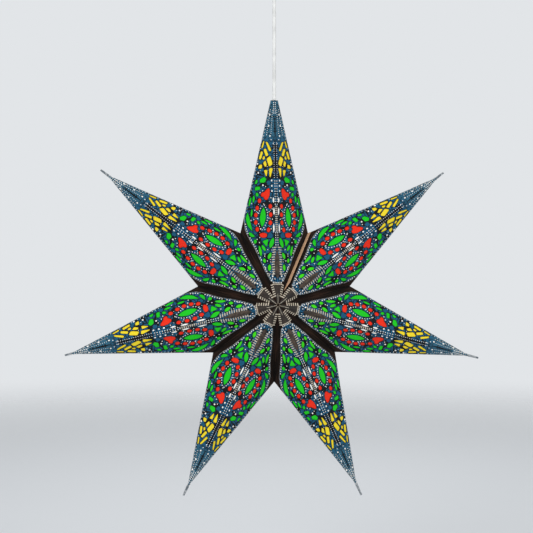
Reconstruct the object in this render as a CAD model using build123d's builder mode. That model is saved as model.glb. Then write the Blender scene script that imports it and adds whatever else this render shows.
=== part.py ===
from build123d import *
import os
from math import cos, radians, sin, tan

# A lit seven-pointed star lantern of folded and cut paper, hung by its cord from a ceiling rose.
# Millimetres. The origin is the middle of the rose's ceiling face, the star hangs below it along
# -Z, and the front of the star faces -Y.

# Star: every point is four flat facets, front and back, left and right of its ridge
point_names = ["top", "upper_right", "right", "lower_right", "lower_left", "left", "upper_left"]
tip_radius = 300.0  # star centre to the end of a point
mouth_radius = 110.0  # star centre to where two neighbouring points part
hub_depth = 70.0  # star centre to its front and back peaks
hub_gap = 1.5  # the points stop this far from the star's axis
paper = 0.5
flange_width = 9.0  # band along each valley that is glued to the next point
cut_overrun = 20.0  # how far a blank runs past the planes that trim it

# Pinched flat end of a point
pinch_length = 17.0
pinch_reach = 8.0  # past where the side folds of the point meet
pinch_root_width = 3.2
pinch_end_width = 1.8

# Top point: longer facets, cut off square for the cord, and one flange that stands out of its valley
top_extra = 9.0  # its side folds would meet this far past the other points' ends
top_cut_length = 23.0  # taken off where its side folds would meet
seam_proud = 5.0
seam_start_share = 0.2  # along the valley, from the hub to the mouth
seam_full_share = 0.3

# Windows: corners as shares of the tip radius, out from the star's centre, and of the half width of
# the point there, across from the ridge
yellow_window_shares = [
    [(0.758, 0.72), (0.755, 0.56), (0.720, 0.26), (0.722, 0.42)],
    [(0.716, 0.86), (0.705, 0.76), (0.681, 0.84), (0.683, 0.93)],
    [(0.679, 0.47), (0.692, 0.31), (0.663, 0.19), (0.649, 0.34)],
    [(0.668, 0.74), (0.666, 0.56), (0.640, 0.50), (0.640, 0.76)],
]
almond_window_shares = [
    [(0.461, 0.43), (0.437, 0.52), (0.397, 0.52), (0.373, 0.43), (0.397, 0.34), (0.437, 0.34)],
]
leaf_window_shares = [
    [(0.435, 0.90), (0.395, 0.93), (0.340, 0.70), (0.385, 0.81)],
    [(0.318, 0.11), (0.285, 0.21), (0.258, 0.17), (0.275, 0.10)],
    [(0.312, 0.25), (0.305, 0.44), (0.283, 0.42), (0.262, 0.29)],
    [(0.282, 0.54), (0.262, 0.62), (0.222, 0.62), (0.240, 0.54)],
]
teardrop_window_shares = [
    [(0.547, 0.30), (0.522, 0.38), (0.493, 0.31), (0.522, 0.22)],
]

# Ring of bead windows round the almond
bead_count = 8
bead_radius = 4.4
ring_out_share = 0.418
ring_across_share = 0.43
ring_long_share = 0.096
ring_wide_share = 0.24

# Tissue glued to the inner faces behind the windows
tissue = 0.2
yellow_patch_shares = [
    [(0.772, 0.80), (0.765, 0.40), (0.655, 0.12), (0.628, 0.34), (0.630, 0.90), (0.688, 0.955)],
]
green_patch_shares = [
    [(0.470, 0.43), (0.417, 0.56), (0.364, 0.43), (0.417, 0.30)],
    [(0.445, 0.88), (0.400, 0.96), (0.330, 0.72), (0.375, 0.77)],
    [(0.322, 0.09), (0.314, 0.48), (0.285, 0.68), (0.210, 0.66), (0.250, 0.10)],
]
red_patch_shares = [
    [(0.556, 0.29), (0.500, 0.62), (0.418, 0.72), (0.330, 0.62), (0.318, 0.26), (0.418, 0.14), (0.510, 0.16)],
]

# Cord and the stop on it that the top point hangs from
cord_diameter = 5.0
cord_clearance = 0.2
cord_free_length = 155.0  # from the cut end of the top point up to the cord grip
stop_radius = 4.2
stop_length = 10.0
stop_clearance = 0.3

# Bulb, a small globe with a 14 mm screw cap
bulb_radius = 22.5
bulb_length = 78.0
bulb_neck_radius = 9.0
bulb_cap_radius = 6.9
bulb_cap_length = 25.5
bulb_contact_radius = 3.4
bulb_contact_length = 2.5
bulb_contact_slope = 3.0

# Lamp holder
holder_radius = 14.0
holder_wall = 5.4
holder_floor = 5.0
holder_skirt = 2.0  # the holder's skirt reaches this far below the bulb's cap
contact_height = 1.5
contact_radius = 3.0
shell_wall = 1.2
shell_clearance = 0.3
holder_cap_height = 26.0
holder_cap_top_radius = 6.0
holder_cap_shoulder = 9.0
cord_socket_depth = 12.0
holder_edge = 1.0

# Ceiling rose
rose_radius = 40.0
rose_height = 30.0
rose_wall = 2.0
rose_edge = 4.0
rose_base_thickness = 3.0
rose_fit = 0.2
screw_spacing = 50.8
screw_hole_diameter = 4.5
terminal_length = 24.0
terminal_width = 12.0
terminal_height = 10.0
terminal_screw_diameter = 3.5
terminal_screw_depth = 4.0
terminal_screw_spacing = 12.0

# Cord grip, with its nut inside the rose
grip_length = 24.0
grip_collar_height = 4.0
grip_collar_radius = 8.0
grip_taper_radius = 6.0
grip_end_radius = 4.0
grip_neck_radius = 5.0
grip_neck_length = 9.0
grip_nut_radius = 9.0
grip_nut_height = 4.0

# Worked out from the sizes above
half_angle = 180 / len(point_names)
mouth = Vector(mouth_radius * cos(radians(half_angle)), mouth_radius * sin(radians(half_angle)), 0)
fold_radius = tip_radius - pinch_reach
top_fold_radius = tip_radius + top_extra
top_cut_radius = top_fold_radius - top_cut_length
star_drop = rose_height + grip_length + cord_free_length + top_cut_radius
sector_plane = Plane(
    origin=(0, 0, 0),
    x_dir=(cos(radians(half_angle)), sin(radians(half_angle)), 0),
    z_dir=(-sin(radians(half_angle)), cos(radians(half_angle)), 0),
)
cord_radius = cord_diameter / 2
bulb_top = bulb_length - bulb_radius - star_drop
holder_bottom = bulb_top - bulb_contact_length - bulb_cap_length - holder_skirt
holder_inner_top = bulb_top + contact_height
holder_top = holder_inner_top + holder_floor
cord_bottom = holder_top + holder_cap_height - cord_socket_depth
terminal_bottom = -rose_base_thickness - terminal_height

os.makedirs("parts", exist_ok=True)


def half_width(out, fold):
    # Half the width of a point at a distance out from the star's centre, seen from the front
    if out < mouth.X:
        return out * tan(radians(half_angle))
    return mouth.Y * (fold - out) / (fold - mouth.X)


def facet_plane(fold):
    # Outer face of a point's front facet: x runs out along the ridge, from the hub's peak
    peak = Vector(0, 0, hub_depth)
    tip = Vector(fold, 0, 0)
    return Plane(origin=peak, x_dir=tip - peak, z_dir=(mouth - tip).cross(peak - tip))


def on_facet(fold, out_share, across_share):
    # A place on the facet, in the facet plane's own x and y
    plane = facet_plane(fold)
    out = out_share * tip_radius
    across = across_share * half_width(out, fold)
    height = hub_depth - (plane.z_dir.X * out + plane.z_dir.Y * across) / plane.z_dir.Z
    place = plane.to_local_coords(Vector(out, across, height))
    return (place.X, place.Y)


def outlines(fold, shares):
    return [[on_facet(fold, *corner) for corner in corners] for corners in shares]


def bead_places(fold):
    # Beads stand evenly round an oval, and the teardrop takes the place nearest the tip
    places = []
    for number in range(1, bead_count + 1):
        turn = radians(360 * number / (bead_count + 1))
        out_share = ring_out_share + ring_long_share * cos(turn)
        across_share = ring_across_share + ring_wide_share * sin(turn)
        places.append(on_facet(fold, out_share, across_share))
    return places


def valley_place(share, proud):
    # A place beside the valley line, in the sector plane's own x and y, from the hub to the mouth
    length = Vector(mouth_radius, hub_depth, 0).length
    along = Vector(0, hub_depth, 0) + Vector(mouth_radius, -hub_depth, 0) * share
    return along + Vector(hub_depth, mouth_radius, 0) * (proud / length)


def paper_quarter(fold):
    # Front facet on one side of the ridge, with its windows and its share of the glue flange
    plane = facet_plane(fold)
    with BuildPart() as quarter:
        with BuildSketch(plane):
            tip = Vector(*on_facet(fold, fold / tip_radius, 0))
            corner = plane.to_local_coords(mouth)
            Polygon(
                tip,
                corner + (corner - tip).normalized() * cut_overrun,
                Vector(-cut_overrun, 0),
                align=None,
            )
            window_shares = (
                yellow_window_shares + almond_window_shares + leaf_window_shares + teardrop_window_shares
            )
            for outline in outlines(fold, window_shares):
                Polygon(*outline, align=None, mode=Mode.SUBTRACT)
            with Locations(*bead_places(fold)):
                RegularPolygon(bead_radius, 4, mode=Mode.SUBTRACT)
        extrude(amount=-paper)
        with BuildSketch(sector_plane):
            Polygon(
                valley_place(0, 0),
                valley_place(1, 0),
                valley_place(1, -flange_width),
                valley_place(0, -flange_width),
                align=None,
            )
        extrude(amount=-paper)
        split(bisect_by=sector_plane, keep=Keep.BOTTOM)
        split(bisect_by=Plane.XZ, keep=Keep.BOTTOM)
        split(bisect_by=Plane.XY, keep=Keep.TOP)
    return quarter.part


def folded_point(fold):
    # The whole folded sheet of a point: out along X, front up, open towards the hub
    with BuildPart() as sheet:
        add(paper_quarter(fold))
        mirror(about=Plane.XY)
        mirror(about=Plane.XZ)
        split(bisect_by=Plane.YZ.offset(hub_gap), keep=Keep.TOP)
    return sheet.part


def tissue_sheets(fold, shares, layer):
    # Flat pieces of tissue on the inner faces of a point, layer by layer
    with BuildPart() as sheets:
        with BuildSketch(facet_plane(fold).offset(-paper - layer * tissue)):
            for outline in outlines(fold, shares):
                Polygon(*outline, align=None)
        extrude(amount=-tissue)
        mirror(about=Plane.XY)
        mirror(about=Plane.XZ)
    return sheets.part


# Regular point, with its pinched end
with BuildPart() as regular_point:
    add(folded_point(fold_radius))
    with BuildSketch(Plane.XY):
        Polygon(
            (tip_radius - pinch_length, -pinch_root_width / 2),
            (tip_radius, -pinch_end_width / 2),
            (tip_radius, pinch_end_width / 2),
            (tip_radius - pinch_length, pinch_root_width / 2),
            align=None,
        )
    extrude(amount=paper, both=True)

# Top point, cut square, with the closing flange on its right
with BuildPart() as top_point:
    add(folded_point(top_fold_radius))
    split(bisect_by=Plane.YZ.offset(top_cut_radius), keep=Keep.BOTTOM)
    with BuildSketch(sector_plane):
        Polygon(
            valley_place(seam_start_share, -paper),
            valley_place(seam_full_share, seam_proud),
            valley_place(1, seam_proud),
            valley_place(1, -paper),
            align=None,
        )
        split(bisect_by=Plane.XZ, keep=Keep.BOTTOM)
    closing_flange = extrude(amount=-paper, mode=Mode.PRIVATE)
    add(mirror(closing_flange, about=Plane.XZ, mode=Mode.PRIVATE))

# The seven points and the tissue behind their windows
tissue_colours = {
    "yellow": (yellow_patch_shares, 0),
    "green": (green_patch_shares, 0),
    "red": (red_patch_shares, 1),
}
regular_tissue = {colour: tissue_sheets(fold_radius, *sheet) for colour, sheet in tissue_colours.items()}
top_tissue = {colour: tissue_sheets(top_fold_radius, *sheet) for colour, sheet in tissue_colours.items()}
for number, name in enumerate(point_names):
    turn = radians(number * 2 * half_angle)
    point_plane = Plane(origin=(0, 0, -star_drop), x_dir=(sin(turn), 0, cos(turn)), z_dir=(0, -1, 0))
    with BuildPart(point_plane) as point:
        add(top_point.part if name == "top" else regular_point.part)
    point.part.label = f"{name}_point"
    export_step(point.part, f"parts/{name}_point.step")
    for colour, sheets in (top_tissue if name == "top" else regular_tissue).items():
        with BuildPart(point_plane) as tissue_behind:
            add(sheets)
        tissue_behind.part.label = f"{name}_{colour}_tissue"
        export_step(tissue_behind.part, f"parts/{name}_{colour}_tissue.step")

# Bulb: globe, neck and screw cap in one
with BuildPart() as bulb:
    with BuildSketch(Plane.XZ):
        with BuildLine():
            neck_height = (bulb_radius**2 - bulb_neck_radius**2) ** 0.5 - star_drop
            cap_bottom = bulb_top - bulb_contact_length - bulb_cap_length
            cap_shoulder = bulb_top - bulb_contact_length - bulb_contact_slope
            globe = ThreePointArc(
                (0, -star_drop - bulb_radius),
                (bulb_radius, -star_drop),
                (bulb_neck_radius, neck_height),
            )
            Polyline(
                globe @ 1,
                (bulb_cap_radius, cap_bottom),
                (bulb_cap_radius, cap_shoulder),
                (bulb_contact_radius, bulb_top - bulb_contact_length),
                (bulb_contact_radius, bulb_top),
                (0, bulb_top),
                globe @ 0,
            )
        make_face()
    revolve(axis=Axis.Z)
bulb.part.label = "bulb"
export_step(bulb.part, "parts/bulb.step")

# Screw shell that the bulb's cap turns into
with BuildPart() as screw_shell:
    shell_inner = bulb_cap_radius + shell_clearance
    with BuildSketch(Plane.XY.offset(cap_bottom)):
        Circle(shell_inner + shell_wall)
        Circle(shell_inner, mode=Mode.SUBTRACT)
    extrude(amount=holder_inner_top - cap_bottom)
screw_shell.part.label = "screw_shell"
export_step(screw_shell.part, "parts/screw_shell.step")

# Centre contact between the bulb and the floor of the holder
with BuildPart() as centre_contact:
    with BuildSketch(Plane.XY.offset(bulb_top)):
        Circle(contact_radius)
    extrude(amount=contact_height)
centre_contact.part.label = "centre_contact"
export_step(centre_contact.part, "parts/centre_contact.step")

# Holder body, a cup round the screw shell
with BuildPart() as holder_body:
    with BuildSketch(Plane.XY.offset(holder_bottom)):
        Circle(holder_radius)
    extrude(amount=holder_top - holder_bottom)
    with BuildSketch(Plane.XY.offset(holder_bottom)):
        Circle(holder_radius - holder_wall)
    extrude(amount=holder_inner_top - holder_bottom, mode=Mode.SUBTRACT)
    rim = holder_body.edges().filter_by(GeomType.CIRCLE).group_by(Axis.Z)[0].sort_by(SortBy.RADIUS)[-1]
    chamfer(rim, holder_edge)
holder_body.part.label = "holder_body"
export_step(holder_body.part, "parts/holder_body.step")

# Holder cap, with the blind socket that the cord goes into
with BuildPart() as holder_cap:
    cap_top = holder_top + holder_cap_height
    with BuildSketch(Plane.XZ):
        with BuildLine():
            Polyline(
                (0, holder_top),
                (holder_radius, holder_top),
                (holder_radius, holder_top + holder_cap_shoulder),
                (holder_cap_top_radius, cap_top),
                (cord_radius + cord_clearance, cap_top),
                (cord_radius + cord_clearance, cord_bottom),
                (0, cord_bottom),
                close=True,
            )
        make_face()
    revolve(axis=Axis.Z)
holder_cap.part.label = "holder_cap"
export_step(holder_cap.part, "parts/holder_cap.step")

# Cord, pulled straight by the lantern's weight
with BuildPart() as cord:
    with BuildSketch(Plane.XY.offset(cord_bottom)):
        Circle(cord_radius)
    extrude(amount=terminal_bottom - cord_bottom)
cord.part.label = "cord"
export_step(cord.part, "parts/cord.step")

# Stop clamped on the cord, as high in the top point as its hollow is wide enough
with BuildPart() as cord_stop:
    normal = facet_plane(top_fold_radius).z_dir
    facet_distance = (stop_radius + stop_clearance) * (normal.Y**2 + normal.Z**2) ** 0.5
    stop_top = top_fold_radius - (facet_distance + paper) / normal.X
    with BuildSketch(Plane.XY.offset(stop_top - star_drop)):
        Circle(stop_radius)
        Circle(cord_radius, mode=Mode.SUBTRACT)
    extrude(amount=-stop_length)
cord_stop.part.label = "cord_stop"
export_step(cord_stop.part, "parts/cord_stop.step")

# Rose base, screwed to the ceiling
with BuildPart() as rose_base:
    with BuildSketch(Plane.XY):
        Circle(rose_radius - rose_wall - rose_fit)
        with GridLocations(screw_spacing, 0, 2, 1):
            Circle(screw_hole_diameter / 2, mode=Mode.SUBTRACT)
    extrude(amount=-rose_base_thickness)
rose_base.part.label = "rose_base"
export_step(rose_base.part, "parts/rose_base.step")

# Rose cover, a cup over the base
with BuildPart() as rose_cover:
    with BuildSketch(Plane.XY.offset(-rose_height)):
        Circle(rose_radius)
    extrude(amount=rose_height)
    bottom_edge = rose_cover.edges().filter_by(GeomType.CIRCLE).group_by(Axis.Z)[0]
    fillet(bottom_edge, rose_edge)
    with BuildSketch(Plane.XY.offset(-rose_height + rose_wall)):
        Circle(rose_radius - rose_wall)
    extrude(amount=rose_height - rose_wall, mode=Mode.SUBTRACT)
    with BuildSketch(Plane.XY.offset(-rose_height)):
        Circle(grip_neck_radius + rose_fit)
    extrude(amount=rose_wall, mode=Mode.SUBTRACT)
rose_cover.part.label = "rose_cover"
export_step(rose_cover.part, "parts/rose_cover.step")

# Terminal block under the base, where the cord's wires end
with BuildPart() as terminal_block:
    with BuildSketch(Plane.XY.offset(terminal_bottom)):
        Rectangle(terminal_width, terminal_length)
    extrude(amount=terminal_height)
    side = terminal_block.faces().sort_by(Axis.X)[-1]
    with BuildSketch(side):
        with GridLocations(terminal_screw_spacing, 0, 2, 1):
            Circle(terminal_screw_diameter / 2)
    extrude(amount=-terminal_screw_depth, mode=Mode.SUBTRACT)
terminal_block.part.label = "terminal_block"
export_step(terminal_block.part, "parts/terminal_block.step")

# Cord grip: neck through the cover, collar below it, taper along the cord
with BuildPart() as cord_grip:
    bore = cord_radius + cord_clearance
    with BuildSketch(Plane.XZ):
        with BuildLine():
            Polyline(
                (bore, -rose_height - grip_length),
                (grip_end_radius, -rose_height - grip_length),
                (grip_taper_radius, -rose_height - grip_collar_height),
                (grip_collar_radius, -rose_height - grip_collar_height),
                (grip_collar_radius, -rose_height),
                (grip_neck_radius, -rose_height),
                (grip_neck_radius, -rose_height + grip_neck_length),
                (bore, -rose_height + grip_neck_length),
                close=True,
            )
        make_face()
    revolve(axis=Axis.Z)
cord_grip.part.label = "cord_grip"
export_step(cord_grip.part, "parts/cord_grip.step")

# Nut on the neck of the grip, inside the cover
with BuildPart() as grip_nut:
    with BuildSketch(Plane.XY.offset(-rose_height + rose_wall)):
        RegularPolygon(grip_nut_radius, 6)
        Circle(grip_neck_radius, mode=Mode.SUBTRACT)
    extrude(amount=grip_nut_height)
grip_nut.part.label = "grip_nut"
export_step(grip_nut.part, "parts/grip_nut.step")
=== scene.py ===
import math

import bmesh
import bpy
from mathutils import Matrix, Vector


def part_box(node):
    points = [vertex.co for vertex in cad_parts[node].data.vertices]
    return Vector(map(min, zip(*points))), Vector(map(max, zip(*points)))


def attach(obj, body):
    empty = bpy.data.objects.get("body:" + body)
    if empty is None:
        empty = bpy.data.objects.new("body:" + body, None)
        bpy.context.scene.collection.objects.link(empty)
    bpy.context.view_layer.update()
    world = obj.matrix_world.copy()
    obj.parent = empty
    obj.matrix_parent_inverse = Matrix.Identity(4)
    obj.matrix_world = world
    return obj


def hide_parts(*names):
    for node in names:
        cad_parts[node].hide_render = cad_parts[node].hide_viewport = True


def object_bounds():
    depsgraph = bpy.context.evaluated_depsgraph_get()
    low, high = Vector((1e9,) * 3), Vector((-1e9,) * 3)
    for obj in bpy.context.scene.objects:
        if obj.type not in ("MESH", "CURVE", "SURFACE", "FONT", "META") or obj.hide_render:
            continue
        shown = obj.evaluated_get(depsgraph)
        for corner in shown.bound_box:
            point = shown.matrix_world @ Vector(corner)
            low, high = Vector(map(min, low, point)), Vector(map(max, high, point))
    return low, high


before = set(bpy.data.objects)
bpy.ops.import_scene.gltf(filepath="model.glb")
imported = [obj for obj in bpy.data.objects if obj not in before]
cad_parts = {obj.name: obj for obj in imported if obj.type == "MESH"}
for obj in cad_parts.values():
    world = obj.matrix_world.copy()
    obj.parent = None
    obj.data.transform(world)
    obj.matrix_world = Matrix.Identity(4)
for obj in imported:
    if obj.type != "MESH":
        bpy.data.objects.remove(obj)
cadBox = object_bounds()

# Sizes of the folded star, in metres, as the solids have them apart from a closer hub
star = {
    "pointNames": ["top", "upper_right", "right", "lower_right", "lower_left", "left", "upper_left"],
    "tipRadius": 0.300,
    "pinchReach": 0.008,
    "mouthRadius": 0.110,
    "hubDepth": 0.070,
    "hubGap": 0.0003,
    "topExtra": 0.009,
    "topCut": 0.023,
    "paper": 0.0005,
    "flangeWidth": 0.009,
    "weld": 0.00001,  # corners closer than this are one
}
halfAngle = math.pi / len(star["pointNames"])
mouthPlace = Vector((math.cos(halfAngle), math.sin(halfAngle), 0)) * star["mouthRadius"]
regularFold = star["tipRadius"] - star["pinchReach"]
topFold = star["tipRadius"] + star["topExtra"]
topEnd = topFold - star["topCut"]
starCentre = Vector((0, 0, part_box("top_point")[1].z - topEnd))


def ink(red, green, blue):  # a colour as seen on screen, 0 to 255
    linear = [(c / 255 / 12.92 if c < 11 else ((c / 255 + 0.055) / 1.055) ** 2.4) for c in (red, green, blue)]
    return (*linear, 1.0)


class Value:
    def __init__(self, finish, socket):
        self.finish = finish
        self.socket = socket

    def maths(self, operation, first, second):
        return self.finish.node("ShaderNodeMath", {"operation": operation}, {0: first, 1: second})

    def __add__(self, other):
        return self.maths("ADD", self, other)

    def __radd__(self, other):
        return self.maths("ADD", other, self)

    def __sub__(self, other):
        return self.maths("SUBTRACT", self, other)

    def __rsub__(self, other):
        return self.maths("SUBTRACT", other, self)

    def __mul__(self, other):
        return self.maths("MULTIPLY", self, other)

    def ramp(self, low, high):  # 0 below low, 1 above high, smooth between
        settings = {"interpolation_type": "SMOOTHSTEP"}
        return self.finish.node("ShaderNodeMapRange", settings, {"Value": self, 1: low, 2: high})


class Finish:
    def __init__(self, name):
        self.material = bpy.data.materials.new(name)
        self.material.use_nodes = True
        self.tree = self.material.node_tree
        self.tree.nodes.clear()

    def node(self, kind, settings=None, sockets=None, output=0):
        made = self.tree.nodes.new(kind)
        for name, value in (settings or {}).items():
            setattr(made, name, value)
        for name, value in (sockets or {}).items():
            if isinstance(value, Value):
                self.tree.links.new(value.socket, made.inputs[name])
            else:
                made.inputs[name].default_value = value
        return Value(self, made.outputs[output]) if made.outputs else None

    def place(self):  # where the surface is, in metres
        return self.node("ShaderNodeTexCoord", output=3)

    def plan(self):  # out along the ridge and across from it, in metres
        return self.node("ShaderNodeUVMap", {"uv_map": "plan"})

    def vector(self, operation, first, second=(0.0, 0.0, 0.0)):
        output = 1 if operation in ("LENGTH", "DISTANCE") else 0
        return self.node("ShaderNodeVectorMath", {"operation": operation}, {0: first, 1: second}, output)

    def noise(self, where, size, detail=3.0, rough=0.5):
        sockets = {"Vector": where, "Scale": 1 / size, "Detail": detail, "Roughness": rough}
        return self.node("ShaderNodeTexNoise", None, sockets)

    def lace(self, where, size):  # 0 on the lines between cells, rising inside them
        sockets = {"Vector": where, "Scale": 1 / size}
        return self.node("ShaderNodeTexVoronoi", {"feature": "DISTANCE_TO_EDGE"}, sockets)

    def mix(self, amount, first, second):
        return self.node("ShaderNodeMix", {"data_type": "RGBA"}, {0: amount, 6: first, 7: second}, output=2)

    def bump(self, height, depth):
        return self.node("ShaderNodeBump", None, {"Height": height, "Distance": depth, "Strength": 1.0})

    def surface(self, sockets):
        shader = self.node("ShaderNodeBsdfPrincipled", None, sockets)
        self.node("ShaderNodeOutputMaterial", None, {"Surface": shader})
        return self.material


matte = 0.15  # specular level of uncoated paper and tissue


def printedPaper():
    look = {
        "ground": ink(6, 11, 17),
        "stroke": ink(26, 90, 124),
        "tipGround": ink(9, 16, 24),
        "tipStroke": ink(50, 100, 124),
        "cell": 0.0062,
        "tipCell": 0.0036,
        "line": 0.10,
        "tipZone": (0.222, 0.240),
    }
    finish = Finish("printedPaper")
    plan = finish.plan()
    out = finish.node("ShaderNodeSeparateXYZ", None, {"Vector": plan})
    nearTip = out.ramp(*look["tipZone"])
    lines = 1 - finish.lace(plan, look["cell"]).ramp(look["line"] * 0.6, look["line"])
    washes = finish.noise(plan, 0.009, detail=2.0).ramp(0.43, 0.47)
    shades = finish.noise(plan, 0.004, detail=3.0)
    blue = washes * (1 - lines * 0.9) * (0.55 + shades * 0.8)
    tipLines = 1 - finish.lace(plan, look["tipCell"]).ramp(look["line"], look["line"] * 2.4)
    pattern = finish.mix(blue, look["ground"], look["stroke"])
    tipPattern = finish.mix(tipLines * 0.9 + washes * 0.15, look["tipGround"], look["tipStroke"])
    fibres = finish.noise(finish.place(), 0.0009, detail=2.0)
    waves = finish.noise(finish.place(), 0.03, detail=1.0)
    return finish.surface({
        "Base Color": finish.mix(nearTip, pattern, tipPattern),
        "Specular IOR Level": matte,
        "Roughness": 0.5 + fibres * 0.2,
        "Normal": finish.bump(fibres * 0.06 + waves, 0.0011),
    })


def cellOutline():
    finish = Finish("cellOutline")
    grain = finish.noise(finish.place(), 0.002)
    colour = finish.mix(grain.ramp(0.45, 0.75), ink(3, 5, 7), ink(12, 20, 27))
    roughness = 0.45 + grain * 0.2
    return finish.surface({"Base Color": colour, "Specular IOR Level": matte, "Roughness": roughness})


def valleyPaper():
    # Bare paper, streaked along the fold
    finish = Finish("valleyPaper")
    plan = finish.plan()
    fibres = finish.noise(finish.place(), 0.0012, detail=4.0, rough=0.65)
    turned = {"Vector": plan, "Angle": -halfAngle}
    around = finish.node("ShaderNodeVectorRotate", {"rotation_type": "Z_AXIS"}, turned)
    stretched = finish.vector("MULTIPLY", around, (0.06, 1.0, 1.0))
    streaks = finish.noise(stretched, 0.0026, detail=2.0)
    tone = streaks.ramp(0.42, 0.72) * 0.75 + fibres.ramp(0.4, 0.8) * 0.25
    return finish.surface({
        "Base Color": finish.mix(tone, ink(3, 2, 1), ink(54, 36, 26)),
        "Specular IOR Level": matte,
        "Roughness": 0.7 + fibres * 0.2,
        "Normal": finish.bump(fibres + streaks * 2, 0.0003),
    })


def shadedRibbonPaper():
    # Painted shade: darker towards the hub, in the pit where the folds lie close
    look = {"dark": 0.006, "full": 0.048, "deepestShadeLevel": 0.12}
    finish = Finish("shadedRibbonPaper")
    place = finish.place()
    fibres = finish.noise(place, 0.0014, detail=4.0, rough=0.65)
    clouds = finish.noise(place, 0.006)
    flat = finish.vector("MULTIPLY", finish.vector("SUBTRACT", place, starCentre), (1.0, 0.0, 1.0))
    away = finish.vector("LENGTH", flat)
    # painted shade: brightness falls to its least at the hub, where the folds close in
    depth = look["deepestShadeLevel"] + away.ramp(look["dark"], look["full"]) * (1 - look["deepestShadeLevel"])
    tone = (clouds.ramp(0.35, 0.65) * 0.6 + fibres * 0.4) * depth
    colour = finish.mix(tone, ink(14, 10, 7), ink(88, 72, 60))
    return finish.surface({"Base Color": colour, "Roughness": 0.65 + fibres * 0.2})


def wornPaper(name, dull, bright):
    finish = Finish(name)
    worn = finish.noise(finish.place(), 0.004)
    colour = finish.mix(worn.ramp(0.4, 0.65), dull, bright)
    return finish.surface({"Base Color": colour, "Roughness": 0.5 + worn * 0.2})


def insidePaper():
    finish = Finish("insidePaper")
    fibres = finish.noise(finish.place(), 0.0012, detail=4.0)
    colour = finish.mix(fibres.ramp(0.3, 0.7), ink(176, 158, 132), ink(206, 190, 164))
    return finish.surface({"Base Color": colour, "Roughness": 0.75 + fibres * 0.15})


# Ink with a painted glow, so the marks shine brighter than the lamps light them
def glowingInk(name, dull, bright):
    finish = Finish(name)
    grain = finish.noise(finish.place(), 0.0015)
    colour = finish.mix(grain.ramp(0.35, 0.7), dull, bright)
    return finish.surface({
        "Base Color": colour,
        "Roughness": 0.45 + grain * 0.2,
        # painted light: the ink glows though it is no lamp
        "Emission Color": colour,
        "Emission Strength": 0.2,
    })


def flangePaper():
    finish = Finish("flangePaper")
    fibres = finish.noise(finish.place(), 0.0012, detail=4.0)
    colour = finish.mix(fibres.ramp(0.3, 0.7), ink(190, 142, 106), ink(222, 180, 144))
    return finish.surface({"Base Color": colour, "Roughness": 0.7 + fibres * 0.2})


def tissue(name, litColour, dimColour):
    # Painted light from the bulb behind: warmer and brighter towards the bulb, and a painted glow
    look = {"bright": 0.07, "dim": 0.10, "glow": 0.22}
    finish = Finish(name)
    place = finish.place()
    offset = finish.vector("DISTANCE", place, starCentre)
    fibres = finish.noise(place, 0.0025, detail=4.0, rough=0.7)
    creases = finish.noise(place, 0.012, detail=1.0)
    # painted light: the colour brightens and warms nearer the bulb
    colour = finish.mix(offset.ramp(look["bright"], look["dim"]) * 0.9 + (fibres - 0.5) * 0.35, litColour, dimColour)
    return finish.surface({
        "Base Color": colour,
        "Specular IOR Level": matte,
        "Roughness": 0.55 + fibres * 0.2,
        # painted glow: the tissue shines though it is no lamp
        "Emission Color": colour,
        "Emission Strength": look["glow"],
        "Normal": finish.bump(creases + fibres * 0.1, 0.0012),
    })


def frostedGlass():
    finish = Finish("frostedGlass")
    grain = finish.noise(finish.place(), 0.0008)
    colour = finish.mix(grain, ink(240, 228, 204), ink(252, 246, 232))
    return finish.surface({
        "Base Color": colour,
        "Roughness": 0.35 + grain * 0.2,
        "Emission Color": colour,
        "Emission Strength": 2.5,
    })


def rolledBrass():
    finish = Finish("rolledBrass")
    stain = finish.noise(finish.place(), 0.004, detail=4.0)
    colour = finish.mix(stain.ramp(0.4, 0.7), ink(206, 172, 104), ink(164, 126, 66))
    return finish.surface({"Base Color": colour, "Metallic": 1.0, "Roughness": 0.28 + stain * 0.2})


def mouldedPlastic(name, bright, dark):
    finish = Finish(name)
    place = finish.place()
    grain = finish.noise(place, 0.0007, detail=2.0)
    clouds = finish.noise(place, 0.03)
    return finish.surface({
        "Base Color": finish.mix(clouds.ramp(0.3, 0.7), dark, bright),
        "Roughness": 0.34 + grain * 0.16,
        "Normal": finish.bump(grain, 0.00004),
    })


def cordSheath():
    finish = Finish("cordSheath")
    grain = finish.noise(finish.place(), 0.0011)
    smears = finish.noise(finish.place(), 0.02)
    colour = finish.mix(smears.ramp(0.35, 0.7), ink(236, 236, 234), ink(216, 216, 214))
    return finish.surface({
        "Base Color": colour,
        "Roughness": 0.4 + grain * 0.15,
        "Normal": finish.bump(grain, 0.00005),
    })


finishes = {
    "printedPaper": printedPaper(),
    "cellOutline": cellOutline(),
    "valleyPaper": valleyPaper(),
    "paleEdge": wornPaper("paleEdge", ink(70, 84, 92), ink(180, 182, 182)),
    "pinchedPaper": wornPaper("pinchedPaper", ink(84, 94, 102), ink(168, 172, 174)),
    "insidePaper": insidePaper(),
    "shadedRibbonPaper": shadedRibbonPaper(),
    "glowingWhiteInk": glowingInk("glowingWhiteInk", ink(222, 220, 212), ink(250, 250, 247)),
    "glowingCreamInk": glowingInk("glowingCreamInk", ink(156, 144, 126), ink(214, 204, 186)),
    "flangePaper": flangePaper(),
    "yellow": tissue("yellowTissue", ink(236, 216, 64), ink(230, 206, 42)),
    "green": tissue("greenTissue", ink(62, 206, 28), ink(18, 186, 34)),
    "red": tissue("redTissue", ink(236, 88, 24), ink(224, 38, 24)),
}
paperSlots = ["printedPaper", "cellOutline", "valleyPaper", "paleEdge", "insidePaper"]
inkSlots = paperSlots + ["glowingWhiteInk", "glowingCreamInk", "shadedRibbonPaper", "flangePaper", "pinchedPaper"]
print("finishes ready")


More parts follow.
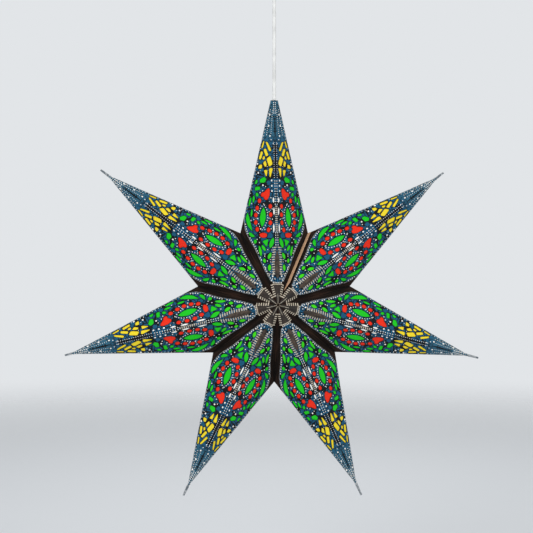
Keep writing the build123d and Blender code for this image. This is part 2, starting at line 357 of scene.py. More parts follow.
# Camera where the photograph was taken from
camera = {
    "distance": 1.8,
    "azimuth": -4.33,
    "elevation": 1.85,
    "aim": Vector((-0.0109, 0, 0.0522)),
    "lens": 86.3,
    "sensor": 36,
}
eye = bpy.data.objects.new("camera", bpy.data.cameras.new("camera"))
bpy.context.scene.collection.objects.link(eye)
turn = Matrix.Rotation(math.radians(camera["azimuth"]), 3, "Z")
tilt = Matrix.Rotation(-math.radians(camera["elevation"]), 3, "X")
eye.location = starCentre + turn @ tilt @ Vector((0, -camera["distance"], 0))
eye.rotation_euler = (starCentre + camera["aim"] - eye.location).to_track_quat("-Z", "Y").to_euler()
eye.data.lens = camera["lens"]
eye.data.sensor_width = camera["sensor"]
bpy.context.scene.camera = eye

# Cord, straight under the lantern's weight, from the holder up to the terminals
flex = {"diameter": 0.005, "runs": 4, "roundness": 6}
cordFoot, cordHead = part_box("cord")
line = bpy.data.curves.new("hanging_cord", "CURVE")
line.dimensions = "3D"
line.bevel_depth = flex["diameter"] / 2
line.bevel_resolution = flex["roundness"]
line.use_fill_caps = True
spline = line.splines.new("NURBS")
spline.points.add(flex["runs"])
for number, point in enumerate(spline.points):
    point.co = (0, 0, cordFoot.z + (cordHead.z - cordFoot.z) * number / flex["runs"], 1)
spline.order_u = 3
spline.use_endpoint_u = True
cord = bpy.data.objects.new("hanging_cord", line)
bpy.context.scene.collection.objects.link(cord)
line.materials.append(cordSheath())
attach(cord, "root")
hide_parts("cord")
print("camera and cord ready")


# A place on a facet is two shares: out of the tip radius, and across of the point's half width there
def halfWidth(out, fold):
    if out < mouthPlace.x:
        return out * math.tan(halfAngle)
    return mouthPlace.y * (fold - out) / (fold - mouthPlace.x)


def onPlan(fold, place):
    out = place[0] * star["tipRadius"]
    return Vector((out, place[1] * halfWidth(out, fold), 0))


def facetLift(fold):  # from the flat plan, seen from the front, to the sloping facet
    peak = Vector((0, 0, star["hubDepth"]))
    tip = Vector((fold, 0, 0))
    normal = (mouthPlace - tip).cross(peak - tip).normalized()
    columns = (
        (1, 0, -normal.x / normal.z, 0),
        (0, 1, -normal.y / normal.z, 0),
        (*normal, 0),
        (0, 0, star["hubDepth"], 1),
    )
    return Matrix(columns).transposed()


def petal(fold, start, end, width, bend=0.0):  # a leaf from start to end, bent to its left
    steps = 6
    fullness = 0.8
    foot = onPlan(fold, start)
    along = onPlan(fold, end) - foot
    side = Vector((-along.y, along.x, 0)).normalized()
    left = []
    right = []
    for step in range(1, steps):
        swell = math.sin(math.pi * step / steps)
        middle = foot + along * step / steps + side * bend * swell
        left.append(middle + side * width / 2 * swell**fullness)
        right.append(middle - side * width / 2 * swell**fullness)
    return [foot, *left, foot + along, *reversed(right)]


def rounded(corners):  # each corner is cut twice, so a cell has soft corners
    for share in (cut["corner"], cut["corner"]):
        softer = []
        for here, there in zip(corners, corners[1:] + corners[:1]):
            softer += [here.lerp(there, share), here.lerp(there, 1 - share)]
        corners = softer
    return corners


def cell(fold, places):
    return rounded([onPlan(fold, place) for place in places])


# Windows of one facet
cut = {
    "yellowCells": [
        [(0.764, 0.84), (0.755, 0.785), (0.731, 0.815), (0.730, 0.90)],
        [(0.757, 0.675), (0.754, 0.55), (0.713, 0.25), (0.712, 0.38)],
        [(0.714, 0.875), (0.708, 0.75), (0.676, 0.80), (0.677, 0.915)],
        [(0.722, 0.74), (0.724, 0.61), (0.692, 0.41), (0.688, 0.54)],
        [(0.676, 0.49), (0.688, 0.31), (0.649, 0.16), (0.638, 0.32)],
        [(0.638, 0.52), (0.657, 0.64), (0.668, 0.54), (0.645, 0.45)],
        [(0.632, 0.67), (0.633, 0.85), (0.648, 0.82), (0.650, 0.70)],
        [(0.690, 0.67), (0.684, 0.59), (0.673, 0.62), (0.676, 0.71)],
        [(0.590, 0.415), (0.623, 0.555), (0.622, 0.39)],
        [(0.582, 0.25), (0.630, 0.325), (0.630, 0.14)],
    ],
    "greenCells": [
        [(0.592, 0.51), (0.581, 0.40), (0.564, 0.46), (0.565, 0.67), (0.581, 0.69)],
        [(0.580, 0.86), (0.577, 0.77), (0.562, 0.77), (0.559, 0.88)],
        [(0.547, 0.64), (0.532, 0.61), (0.528, 0.82), (0.546, 0.83)],
        [(0.291, 0.46), (0.302, 0.25), (0.264, 0.345)],
        [(0.430, 0.93), (0.398, 0.945), (0.364, 0.84), (0.336, 0.665), (0.368, 0.74), (0.402, 0.83)],
    ],
    "leaves": [  # start, end, width, bend
        ((0.509, 0.82), (0.469, 0.79), 0.0031, 0.0),
        ((0.520, 0.74), (0.498, 0.67), 0.0039, 0.0),
        ((0.446, 0.80), (0.402, 0.775), 0.0028, 0.0),
        ((0.503, 0.92), (0.452, 0.915), 0.0029, 0.0),
        ((0.335, 0.775), (0.311, 0.63), 0.0044, -0.0010),
        ((0.309, 0.10), (0.257, 0.25), 0.0056, 0.0),
        ((0.275, 0.50), (0.244, 0.42), 0.0040, 0.0),
        ((0.274, 0.60), (0.218, 0.655), 0.0036, 0.0005),
        ((0.240, 0.23), (0.207, 0.39), 0.0046, 0.0),
        ((0.213, 0.56), (0.190, 0.58), 0.0040, 0.0),
        ((0.186, 0.37), (0.153, 0.48), 0.0044, 0.0),
        ((0.451, 0.42), (0.354, 0.415), 0.0078, 0.0),
    ],
    "nub": ((0.290, 0.675), 0.0030),
    "redCells": [  # the double bead at the foot of the ring, and the club at its head
        [(0.311, 0.29), (0.326, 0.27), (0.331, 0.37), (0.326, 0.485), (0.311, 0.485), (0.306, 0.38)],
        [(0.538, 0.28), (0.532, 0.37), (0.519, 0.455), (0.518, 0.53), (0.509, 0.57), (0.500, 0.54),
         (0.4975, 0.46), (0.484, 0.405), (0.482, 0.315), (0.500, 0.245), (0.525, 0.235)],
    ],
    "beads": [(0.503, 0.525), (0.480, 0.585), (0.446, 0.628), (0.413, 0.642), (0.379, 0.613), (0.347, 0.545),
              (0.317, 0.38), (0.343, 0.23), (0.376, 0.182), (0.413, 0.180), (0.452, 0.20), (0.497, 0.26)],
    "shapedBeads": (0, 6, 11),  # the red cells take these places
    "beadRadius": 0.0034,
    "ringMiddle": Vector((0.406, 0.41)),
    "corner": 0.13,
    "grow": 0.0005,
    "yellowGrow": 0.0008,
    "outline": 0.0005,
}
acrossSqueeze = 0.715  # a round mark on the sloping facet, seen from the front


def disc(centre, radius, corners=14):
    angles = [2 * math.pi * number / corners for number in range(corners)]
    return [centre + Vector((math.cos(a), acrossSqueeze * math.sin(a), 0)) * radius for a in angles]


def grown(outline, amount):  # the same outline, further out all round
    turn = sum(here.cross(there).z for here, there in zip(outline, outline[1:] + outline[:1]))
    away = amount if turn > 0 else -amount
    wider = []
    for before, corner, after in zip(outline[-1:] + outline[:-1], outline, outline[1:] + outline[:1]):
        along = (corner - before).normalized() + (after - corner).normalized()
        wider.append(corner + Vector((along.y, -along.x, 0)).normalized() * away)
    return wider


def windowOutlines(fold):
    outlines = [cell(fold, places) for places in cut["greenCells"] + cut["redCells"]]
    outlines += [petal(fold, *leaf) for leaf in cut["leaves"]]
    outlines.append(disc(onPlan(fold, cut["nub"][0]), cut["nub"][1]))
    for number, place in enumerate(cut["beads"]):
        if number not in cut["shapedBeads"]:
            outlines.append(disc(onPlan(fold, place), cut["beadRadius"]))
    yellow = [grown(cell(fold, places), cut["yellowGrow"]) for places in cut["yellowCells"]]
    return yellow + [grown(outline, cut["grow"]) for outline in outlines]


# Where the print ends, from the side edge down to the ridge near the hub
printEdge = [
    (0.425, 1.0), (0.400, 0.99), (0.372, 0.95), (0.345, 0.885), (0.318, 0.84), (0.292, 0.82), (0.262, 0.785),
    (0.237, 0.765), (0.207, 0.755), (0.180, 0.745), (0.150, 0.71), (0.126, 0.64), (0.108, 0.57), (0.100, 0.0),
]
paleEdgeWidth = 0.0006


def insetFace(bm, face, width):
    face.normal_update()
    rim = bmesh.ops.inset_region(bm, faces=[face], thickness=width, use_boundary=True, use_even_offset=True)
    return rim["faces"]


def flatQuarter(fold, end):
    # One facet, flat, as seen from the front: valley paper, print, and windows with their outlines
    bm = bmesh.new()
    endHalf = halfWidth(end, fold)
    gap = star["hubGap"]
    edge = [bm.verts.new(onPlan(fold, place)) for place in printEdge]
    hub = [bm.verts.new((gap, 0, 0)), bm.verts.new((gap, gap * math.tan(halfAngle), 0))]
    mouth = bm.verts.new(mouthPlace)
    tip = [bm.verts.new((end, 0, 0))]
    if endHalf > star["weld"]:
        tip.append(bm.verts.new((end, endHalf, 0)))
    valley = bm.faces.new([*hub[::-1], *reversed(edge), mouth])
    valley.material_index = paperSlots.index("valleyPaper")
    printed = bm.faces.new([*reversed(edge), *reversed(tip)])
    rim = insetFace(bm, printed, paleEdgeWidth)
    for face in rim:
        onRidge = all(vert.co.y < paleEdgeWidth * 1.5 for vert in face.verts)
        face.material_index = paperSlots.index("printedPaper" if onRidge else "paleEdge")
    loops = list(printed.edges)
    bmesh.ops.delete(bm, geom=[printed], context="FACES_ONLY")
    for outline in windowOutlines(fold):
        pane = bm.faces.new([bm.verts.new(corner) for corner in outline])
        for face in insetFace(bm, pane, cut["outline"]):
            face.material_index = paperSlots.index("cellOutline")
            loops += [side for side in face.edges if side.is_boundary]
        bmesh.ops.delete(bm, geom=[pane], context="FACES_ONLY")
    bmesh.ops.triangle_fill(bm, edges=loops, use_beauty=True, normal=(0, 0, 1))
    for face in bm.faces:
        face.normal_update()
    bmesh.ops.reverse_faces(bm, faces=[face for face in bm.faces if face.normal.z < 0])
    plan = bm.loops.layers.uv.new("plan")
    for face in bm.faces:
        for loop in face.loops:
            loop[plan].uv = loop.vert.co.xy
    return bm, [hub[1], mouth]


def vertsOf(parts):
    return [part for part in parts if isinstance(part, bmesh.types.BMVert)]


def facesOf(parts):
    return [part for part in parts if isinstance(part, bmesh.types.BMFace)]


def foldFlange(bm, valleyEnds):
    # The band along the valley that is glued to the next point, folded in
    crease = bm.edges.get(valleyEnds)
    length = math.hypot(star["mouthRadius"], star["hubDepth"])
    drop = star["flangeWidth"] * length / star["mouthRadius"]
    band = bmesh.ops.extrude_edge_only(bm, edges=[crease])["geom"]
    for vert in vertsOf(band):
        if vert.co.z > star["hubDepth"] / 2:
            vert.co.z -= drop
        else:
            vert.co *= 1 - drop / star["hubDepth"]
    for face in facesOf(band):
        face.material_index = paperSlots.index("valleyPaper")


def fourFacets(bm):
    # The facet's images across the ridge and at the back
    for flip in ((1, -1, 1), (1, 1, -1)):
        twin = bmesh.ops.duplicate(bm, geom=bm.verts[:] + bm.edges[:] + bm.faces[:])["geom"]
        bmesh.ops.scale(bm, vec=flip, verts=vertsOf(twin))
        bmesh.ops.reverse_faces(bm, faces=facesOf(twin))
    bmesh.ops.remove_doubles(bm, verts=bm.verts[:], dist=star["weld"])


def asMesh(bm, name):
    mesh = bpy.data.meshes.new(name)
    bm.to_mesh(mesh)
    bm.free()
    return mesh


def foldedSheet(fold, end):
    bm, valleyEnds = flatQuarter(fold, end)
    bm.transform(facetLift(fold))
    foldFlange(bm, valleyEnds)
    fourFacets(bm)
    bmesh.ops.recalc_face_normals(bm, faces=bm.faces[:])
    mesh = asMesh(bm, "sheet")
    for name in paperSlots:
        mesh.materials.append(finishes[name])
    sheet = bpy.data.objects.new("sheet", mesh)
    bpy.context.scene.collection.objects.link(sheet)
    thick = sheet.modifiers.new("thick", "SOLIDIFY")
    thick.thickness = star["paper"]
    thick.offset = -1
    thick.use_even_offset = True
    thick.thickness_clamp = 2
    thick.material_offset = len(paperSlots)
    bpy.context.view_layer.update()
    solid = bpy.data.meshes.new_from_object(sheet.evaluated_get(bpy.context.evaluated_depsgraph_get()))
    bpy.data.objects.remove(sheet)
    return solid


# Ink that stands a little above the paper: dots and strokes
marks = {
    "height": 0.00024,
    "dotTop": 0.7,  # a dot's top, as a share of its foot
    "small": 0.0007,
    "middle": 0.00095,
    "border": 0.0011,
    "large": 0.0016,
    "largeDots": [(0.572, 0.175), (0.547, 0.165), (0.523, 0.155), (0.552, 0.52), (0.130, 0.33), (0.783, 0.40),
                  (0.832, 0.60), (0.885, 0.68), (0.655, 0.93), (0.612, 0.80)],
    "middleDots": [(0.160, 0.20), (0.145, 0.24), (0.118, 0.20), (0.118, 0.38), (0.140, 0.53), (0.200, 0.44),
                   (0.232, 0.47), (0.252, 0.33), (0.312, 0.36), (0.308, 0.50), (0.320, 0.68), (0.518, 0.60),
                   (0.506, 0.44), (0.468, 0.84), (0.388, 0.76), (0.620, 0.13), (0.745, 0.14), (0.765, 0.30),
                   (0.262, 0.46), (0.228, 0.33), (0.222, 0.50), (0.285, 0.55), (0.300, 0.59), (0.245, 0.54),
                   (0.198, 0.51), (0.178, 0.51), (0.170, 0.62), (0.155, 0.55), (0.340, 0.70), (0.352, 0.77),
                   (0.420, 0.74), (0.455, 0.71), (0.488, 0.67), (0.526, 0.51), (0.545, 0.41), (0.300, 0.19)],
    "ringRows": [(0.80, 0.0009), (1.0, 0.0006), (1.25, 0.0010)],  # share of the ring, dot radius
    "borderRow": {"inset": 0.0019, "spacing": 0.0034},
    "sideRow": {"start": 0.42, "margin": 0.04, "inset": 0.0015, "spacing": 0.0046},
    "ridgeRows": [  # spacing, size, then places out along the ridge and, in metres, away from it
        (0.0033, "middle", [(0.268, 0.0014), (0.330, 0.0014)]),
        (0.0036, "middle", [(0.455, 0.0014), (0.575, 0.0014)]),
        (0.0031, "small", [(0.580, 0.0021), (0.760, 0.0017)]),
        (0.0033, "small", [(0.135, 0.0088), (0.215, 0.0088), (0.262, 0.0058)]),
        (0.0022, "middle", [(0.1015, 0.0), (0.1015, 0.0070)]),
    ],
    "bandRow": [(0.602, 0.92), (0.634, 0.62), (0.645, 0.14)],
    "bandSpacing": 0.0036,
    "almondRow": ((0.464, 0.42), (0.341, 0.415), 0.0130),
    "almondSpacing": 0.0037,
    "strokes": [  # start and end along the ridge, then how far from it, in metres
        (0.494, 0.467, 0.0036),
        (0.447, 0.409, 0.0031),
        (0.372, 0.328, 0.0038),
    ],
    "strokeWidth": 0.0018,
    "strokeShoulder": 0.3,
    "endMargin": 0.012,  # of the tip radius, as the starts and margins of rows are
    "tipRidgeRow": {"start": 0.886, "away": 0.0012},
    "tipRows": [(0.790, 0.34), (0.785, 0.68)],  # start, share of the half width
    "tipMargin": 0.03,
    "tipSpacing": 0.0030,
}


def isInside(place, outline):
    crossings = 0
    for here, there in zip(outline, outline[1:] + outline[:1]):
        if (here.y > place.y) != (there.y > place.y):
            crossings += place.x < here.x + (place.y - here.y) * (there.x - here.x) / (there.y - here.y)
    return crossings % 2 == 1


def dot(bm, place, radius, windows):  # left out where it would hang over a window
    rim = disc(place, radius, 6)
    if any(isInside(spot, outline) for outline in windows for spot in rim):
        return
    squeeze = Matrix.Diagonal((1, acrossSqueeze, 1, 1))
    bmesh.ops.create_cone(
        bm, cap_ends=True, segments=7, radius1=radius, radius2=radius * marks["dotTop"],
        depth=marks["height"], matrix=Matrix.Translation(place) @ squeeze)


def bar(bm, start, end, width):
    along = end - start
    size = Matrix.Diagonal((along.length, width, marks["height"], 1))
    place = Matrix.Translation((start + end) / 2) @ Matrix.Rotation(math.atan2(along.y, along.x), 4, "Z")
    bmesh.ops.create_cube(bm, size=1, matrix=place @ size)


def stroke(bm, start, end, width):  # a line of the brush, pointed at both ends
    aside = Vector((0, width / 2, 0))
    broad = [start.lerp(end, marks["strokeShoulder"]), start.lerp(end, 1 - marks["strokeShoulder"])]
    corners = [start, broad[0] + aside, broad[1] + aside, end, broad[1] - aside, broad[0] - aside]
    raisePlate(bm, corners, marks["height"] / 2)


def raisePlate(bm, corners, height):
    face = bm.faces.new([bm.verts.new(corner) for corner in corners])
    top = bmesh.ops.extrude_face_region(bm, geom=[face], use_keep_orig=True)["geom"]
    bmesh.ops.translate(bm, vec=(0, 0, height), verts=vertsOf(top))


def dotRow(bm, path, spacing, radius, windows):  # dots along a line of places, at an even distance
    left = spacing / 2
    for here, there in zip(path, path[1:]):
        run = (there - here).length
        while left < run:
            dot(bm, here.lerp(there, left / run), radius, windows)
            left += spacing
        left -= run


def inset(path, amount):  # the same line, nearer the ridge
    return [place - Vector((0, amount, 0)) for place in path]


def beside(shareOut, away):  # a place by how far it is from the ridge, in metres
    return Vector((shareOut * star["tipRadius"], away, 0))


def inkedQuarter(fold, end):
    bm = bmesh.new()
    windows = windowOutlines(fold)
    lastShare = end / star["tipRadius"] - marks["endMargin"]
    border = [onPlan(fold, place) for place in printEdge[1:-1]]
    row = marks["borderRow"]
    dotRow(bm, inset(border, row["inset"]), row["spacing"], marks["border"], windows)
    row = marks["sideRow"]
    side = [onPlan(fold, (row["start"], 1.0)), onPlan(fold, (lastShare - row["margin"], 1.0))]
    dotRow(bm, inset(side, row["inset"]), row["spacing"], marks["small"], windows)
    for spacing, size, places in marks["ridgeRows"]:
        dotRow(bm, [beside(*place) for place in places], spacing, marks[size], windows)
    row = marks["tipRidgeRow"]
    ridge = [beside(row["start"], row["away"]), beside(lastShare, row["away"])]
    dotRow(bm, ridge, marks["tipSpacing"], marks["middle"], windows)
    for first, share in marks["tipRows"]:
        tip = [onPlan(fold, (first, share)), onPlan(fold, (lastShare - marks["tipMargin"], share))]
        dotRow(bm, tip, marks["tipSpacing"], marks["small"], windows)
    band = [onPlan(fold, place) for place in marks["bandRow"]]
    dotRow(bm, band, marks["bandSpacing"], marks["small"], windows)
    for size, places in (("large", marks["largeDots"]), ("middle", marks["middleDots"])):
        for place in places:
            dot(bm, onPlan(fold, place), marks[size], windows)
    for here, there in zip(cut["beads"], cut["beads"][1:]):
        between = (Vector(here) + Vector(there)) / 2 - cut["ringMiddle"]
        for share, radius in marks["ringRows"]:
            dot(bm, onPlan(fold, cut["ringMiddle"] + between * share), radius, windows)
    around = petal(fold, *marks["almondRow"])
    dotRow(bm, around + around[:1], marks["almondSpacing"], marks["middle"], windows)
    for first, last, away in marks["strokes"]:
        stroke(bm, beside(first, away), beside(last, away), marks["strokeWidth"])
    bmesh.ops.recalc_face_normals(bm, faces=bm.faces[:])
    return bm


# Cream ticks along the ridge: shares of the tip radius out, metres away from the ridge
ticks = {
    "ridge": {"count": 13, "first": 0.337, "last": 0.451, "reach": 0.0015, "width": 0.0013},
    "lens": {"count": 12, "first": 0.262, "last": 0.140, "away": 0.0052, "closing": 0.0024,
             "closeFrom": 0.215, "slant": 0.001, "reach": 0.0019, "width": 0.0014},
    "hub": {"count": 6, "first": 0.091, "last": 0.041, "away": 0.0010, "opening": 0.066,
            "slant": (0.002, 0.003), "reach": (0.0014, 0.0018), "width": 0.0014},
    "collar": {"share": 0.0945, "reach": 0.0064, "width": 0.0013},
    "wornFold": {"first": 0.006, "last": 0.052, "away": 0.0001, "width": 0.0002},
}


def evenShares(row):
    step = (row["last"] - row["first"]) / (row["count"] - 1)
    return [row["first"] + step * number for number in range(row["count"])]


def tickedQuarter():
    bm = bmesh.new()
    row = ticks["ridge"]
    for share in evenShares(row):
        bar(bm, beside(share, 0), beside(share, row["reach"]), row["width"])
    row = ticks["lens"]
    for share in evenShares(row):  # two rows that close to a lens along the ridge
        closed = max(0.0, (share - row["closeFrom"]) / (row["first"] - row["closeFrom"]))
        away = row["away"] - row["closing"] * closed
        bar(bm, beside(share + row["slant"], away - row["reach"]),
            beside(share - row["slant"], away + row["reach"]), row["width"])
    row = ticks["collar"]  # where the ribbon starts
    bar(bm, beside(row["share"], 0), beside(row["share"], row["reach"]), row["width"])
    row = ticks["wornFold"]  # between collar and hub
    bar(bm, beside(row["first"], row["away"]), beside(row["last"], row["away"]), row["width"])
    row = ticks["hub"]
    for share in evenShares(row):  # along the edge of the ribbon at the hub
        away = row["away"] + row["opening"] * share
        bar(bm, beside(share + row["slant"][0], away - row["reach"][0]),
            beside(share - row["slant"][1], away + row["reach"][1]), row["width"])
    return bm


# Bare shapes on the print: half of each, from the ridge outwards
bareShapes = {
    "shadedRibbonPaper": [[(0.098, 0.0), (0.097, 0.0062), (0.014, 0.0016), (0.010, 0.0)],
                    [(0.252, 0.0), (0.215, 0.0030), (0.170, 0.0038), (0.135, 0.0026), (0.120, 0.0)]],
    "cellOutline": [[(0.750, 0.0), (0.720, 0.0010), (0.630, 0.0012), (0.590, 0.0)],
                    [(0.880, 0.0), (0.860, 0.0006), (0.825, 0.0010), (0.790, 0.0007), (0.768, 0.0)]],
}


def bareQuarter(shapes):
    bm = bmesh.new()
    for corners in shapes:
        raisePlate(bm, [beside(*corner) for corner in corners], marks["height"] / 4)
    bmesh.ops.recalc_face_normals(bm, faces=bm.faces[:])
    return bm


def closingFlange():
    # The top point's flange that stands out of the valley on its right
    strip = {"start": 0.2, "full": 0.3, "proud": 0.005, "lean": 0.5}
    length = math.hypot(star["mouthRadius"], star["hubDepth"])
    outward = Vector((mouthPlace.x, -mouthPlace.y, 0)).normalized()
    peak = Vector((0, 0, star["hubDepth"]))
    aside = Vector((math.sin(halfAngle), math.cos(halfAngle), 0))
    run = outward * star["mouthRadius"] - peak
    proud = (outward * star["hubDepth"] + Vector((0, 0, star["mouthRadius"]))) * strip["proud"] / length
    proud -= aside * strip["proud"] * strip["lean"]
    bm = bmesh.new()
    mouth = peak + run
    corners = [peak + run * strip["start"], peak + run * strip["full"] + proud, mouth + proud, mouth]
    face = bm.faces.new([bm.verts.new(corner) for corner in corners])
    other = bmesh.ops.extrude_face_region(bm, geom=[face])["geom"]
    bmesh.ops.translate(bm, vec=aside * star["paper"], verts=vertsOf(other))
    bmesh.ops.recalc_face_normals(bm, faces=bm.faces[:])
    return bm


def pinchedEnd():
    pinch = {"length": 0.017, "rootWidth": 0.0040, "endWidth": 0.0025, "bevel": 0.0001}
    bm = bmesh.new()
    bmesh.ops.create_cube(bm, size=1)
    for vert in bm.verts:
        width = pinch["endWidth"] if vert.co.x > 0 else pinch["rootWidth"]
        out = star["tipRadius"] - pinch["length"] * (0.5 - vert.co.x)
        vert.co = (out, vert.co.y * width, vert.co.z * star["paper"] * 2)
    bmesh.ops.bevel(
        bm, geom=bm.edges[:], offset=pinch["bevel"], affect="EDGES", segments=1, profile=0.5, material=-1)
    return bm


def pointMesh(fold, end, extra, extraSlot):
    bm = bmesh.new()
    bm.from_mesh(foldedSheet(fold, end))
    quarters = [(inkedQuarter(fold, end), "glowingWhiteInk"), (tickedQuarter(), "glowingCreamInk")]
    quarters += [(bareQuarter(shapes), slot) for slot, shapes in bareShapes.items()]
    for quarter, slot in quarters:
        quarter.transform(facetLift(fold))
        fourFacets(quarter)
    for added, slot in quarters + [(extra, extraSlot)]:
        for face in added.faces:
            face.material_index = inkSlots.index(slot)
        bm.from_mesh(asMesh(added, "added"))
    mesh = asMesh(bm, "point")
    for name in inkSlots:
        mesh.materials.append(finishes[name])
    return mesh


# Tissue behind the windows, as larger sheets than the cells that it shows through
patches = {
    "yellow": (0, [
        [(0.775, 0.84), (0.768, 0.56), (0.715, 0.13), (0.645, 0.08), (0.622, 0.08), (0.576, 0.22),
         (0.5835, 0.33), (0.5875, 0.385), (0.602, 0.50), (0.626, 0.90), (0.690, 0.96), (0.735, 0.955)],
    ]),
    "green": (0, [
        [(0.459, 0.42), (0.430, 0.54), (0.380, 0.54), (0.347, 0.415), (0.380, 0.29), (0.430, 0.30)],
        [(0.600, 0.53), (0.5845, 0.39), (0.557, 0.42), (0.540, 0.56), (0.506, 0.63), (0.480, 0.72),
         (0.446, 0.745), (0.413, 0.731), (0.379, 0.715), (0.345, 0.635), (0.325, 0.56), (0.3035, 0.51),
         (0.3035, 0.20), (0.314, 0.13), (0.318, 0.05), (0.252, 0.14), (0.200, 0.19), (0.147, 0.38),
         (0.150, 0.58), (0.215, 0.70), (0.292, 0.77), (0.335, 0.82), (0.374, 0.92), (0.400, 0.97),
         (0.520, 0.975), (0.590, 0.92)],
    ]),
    "red": (1, [
        [(0.545, 0.27), (0.538, 0.42), (0.512, 0.62), (0.480, 0.70), (0.413, 0.73), (0.360, 0.69),
         (0.320, 0.55), (0.300, 0.44), (0.300, 0.26), (0.335, 0.13), (0.400, 0.09), (0.470, 0.11),
         (0.500, 0.18)],
    ]),
}
tissueThick = 0.0002


def tissueMesh(fold, colour):
    layer, sheets = patches[colour]
    bm = bmesh.new()
    for places in sheets:
        bm.faces.new([bm.verts.new(onPlan(fold, place)) for place in places])
    depth = star["paper"] + layer * tissueThick
    bmesh.ops.translate(bm, vec=(0, 0, -depth), verts=bm.verts[:])
    back = bmesh.ops.extrude_face_region(bm, geom=bm.faces[:], use_keep_orig=True)["geom"]
    bmesh.ops.translate(bm, vec=(0, 0, -tissueThick), verts=vertsOf(back))
    bmesh.ops.triangulate(bm, faces=[face for face in bm.faces if len(face.verts) > 4])
    bmesh.ops.recalc_face_normals(bm, faces=bm.faces[:])
    bm.transform(facetLift(fold))
    fourFacets(bm)
    mesh = asMesh(bm, colour)
    mesh.materials.append(finishes[colour])
    return mesh


def addPiece(name, mesh, replaced):
    piece = bpy.data.objects.new(name, mesh)
    bpy.context.scene.collection.objects.link(piece)
    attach(piece, "root")
    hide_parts(replaced)


# How far tips stand from their regular places in the photograph: out, aside, and the pinched end's extra
settled = {
    "upper_right": (0.0029, -0.0052, 0.0011),
    "right": (-0.0033, -0.0110, 0.0048),
    "lower_right": (-0.0101, -0.0061, 0.0085),
    "lower_left": (-0.0072, 0.0016, 0.0049),
    "left": (0.0020, 0.0045, -0.0010),
    "upper_left": (0.0036, 0.0050, 0.0026),
}


def settle(mesh, name):  # the facets stay flat, and the valleys and the hub stay where they are
    outward, aside, longer = settled[name]
    slope = mouthPlace.x / mouthPlace.y
    for vert in mesh.vertices:
        share = max(0.0, (vert.co.x - abs(vert.co.y) * slope) / regularFold)
        pinched = max(0.0, (vert.co.x - regularFold) / star["pinchReach"])
        vert.co += Vector((outward * share + longer * pinched, aside * share, 0))


regularMesh = pointMesh(regularFold, regularFold, pinchedEnd(), "pinchedPaper")
topMesh = pointMesh(topFold, topEnd, closingFlange(), "flangePaper")
print("points folded:", len(regularMesh.polygons), "faces each")

for number, name in enumerate(star["pointNames"]):
    around = 2 * halfAngle * number
    out = Vector((math.sin(around), 0, math.cos(around)))
    across = Vector((-math.cos(around), 0, math.sin(around)))
    place = Matrix((out, across, (0, -1, 0))).transposed().to_4x4()
    place.translation = starCentre
    fold = topFold if name == "top" else regularFold
    meshes = {"folded_paper": (topMesh if name == "top" else regularMesh).copy()}
    for colour in patches:
        meshes[f"{colour}_panes"] = tissueMesh(fold, colour)
    for mesh in meshes.values():
        if name in settled:
            settle(mesh, name)
        mesh.transform(place)
    addPiece(f"{name}_folded_paper", meshes["folded_paper"], f"{name}_point")
    for colour in patches:
        panes = f"{colour}_panes"
        addPiece(f"{name}_{panes}", meshes[panes], f"{name}_{colour}_tissue")
print("points and tissue placed")

# Lamp and ceiling rose keep their solids
white = mouldedPlastic("whitePlastic", ink(234, 233, 228), ink(222, 221, 215))
lampFinishes = {
    "bulb": frostedGlass(),
    "screw_shell": rolledBrass(),
    "holder_body": white,
    "terminal_block": mouldedPlastic("clearPlastic", ink(222, 226, 226), ink(206, 212, 212)),
}
lampFinishes["centre_contact"] = lampFinishes["screw_shell"]
for name in ("holder_cap", "cord_stop", "rose_base", "rose_cover", "cord_grip", "grip_nut"):
    lampFinishes[name] = white
for name, finish in lampFinishes.items():
    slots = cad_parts[name].data.materials
    slots.clear()
    slots.append(finish)
print("lamp finished")


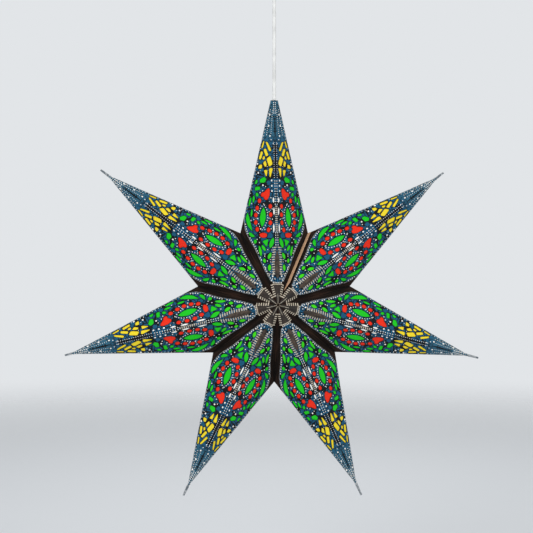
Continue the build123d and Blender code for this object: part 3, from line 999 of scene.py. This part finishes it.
# Pale floor that fades into the background, soft light
studio = {
    "floorDrop": 0.19,
    "floorRadius": 6.0,
    "fadeFrom": 1.6,
    "fadeTo": 4.2,
    "pale": ink(226, 229, 232),
    "ambient": 0.5,
    "lamps": [  # place from the star's centre, size, watts
        ((-1.3, -1.9, 1.1), 1.4, 30.0),
        ((1.7, -1.5, 1.0), 0.8, 16.0),
        ((0.2, 1.6, 1.5), 1.4, 16.0),
    ],
}


def paleFloor():
    finish = Finish("paleFloor")
    away = finish.vector("LENGTH", finish.place())
    grain = finish.noise(finish.place(), 0.05)
    return finish.surface({
        "Base Color": studio["pale"],
        "Roughness": 0.7 + grain * 0.1,
        "Alpha": 1 - away.ramp(studio["fadeFrom"], studio["fadeTo"]),
    })


bm = bmesh.new()
bmesh.ops.create_circle(bm, cap_ends=True, segments=96, radius=studio["floorRadius"])
bmesh.ops.translate(bm, vec=(0, 0, cadBox[0][2] - studio["floorDrop"]), verts=bm.verts[:])
floorMesh = asMesh(bm, "floor")
floorMesh.materials.append(paleFloor())
floor = bpy.data.objects.new("floor", floorMesh)
bpy.context.scene.collection.objects.link(floor)

for number, (place, size, watts) in enumerate(studio["lamps"]):
    lamp = bpy.data.lights.new(f"lamp{number}", "AREA")
    lamp.shape = "DISK"
    lamp.size = size
    lamp.energy = watts
    holder = bpy.data.objects.new(f"lamp{number}", lamp)
    holder.location = starCentre + Vector(place)
    holder.rotation_euler = (-Vector(place)).to_track_quat("-Z", "Y").to_euler()
    bpy.context.scene.collection.objects.link(holder)

world = bpy.data.worlds.new("studio")
bpy.context.scene.world = world
world.use_nodes = True
background = world.node_tree.nodes["Background"]
background.inputs["Color"].default_value = studio["pale"]
# The pale background is for the eye, not for the light
seen = world.node_tree.nodes.new("ShaderNodeLightPath")
strength = world.node_tree.nodes.new("ShaderNodeMapRange")
strength.inputs["To Min"].default_value = studio["ambient"]
total = seen.outputs["Is Camera Ray"]
for ray in ("Is Glossy Ray", "Is Transmission Ray"):
    both = world.node_tree.nodes.new("ShaderNodeMath")
    world.node_tree.links.new(total, both.inputs[0])
    world.node_tree.links.new(seen.outputs[ray], both.inputs[1])
    total = both.outputs[0]
world.node_tree.links.new(total, strength.inputs["Value"])
world.node_tree.links.new(strength.outputs["Result"], background.inputs["Strength"])
bpy.context.scene.view_settings.view_transform = "Standard"
print("studio ready")
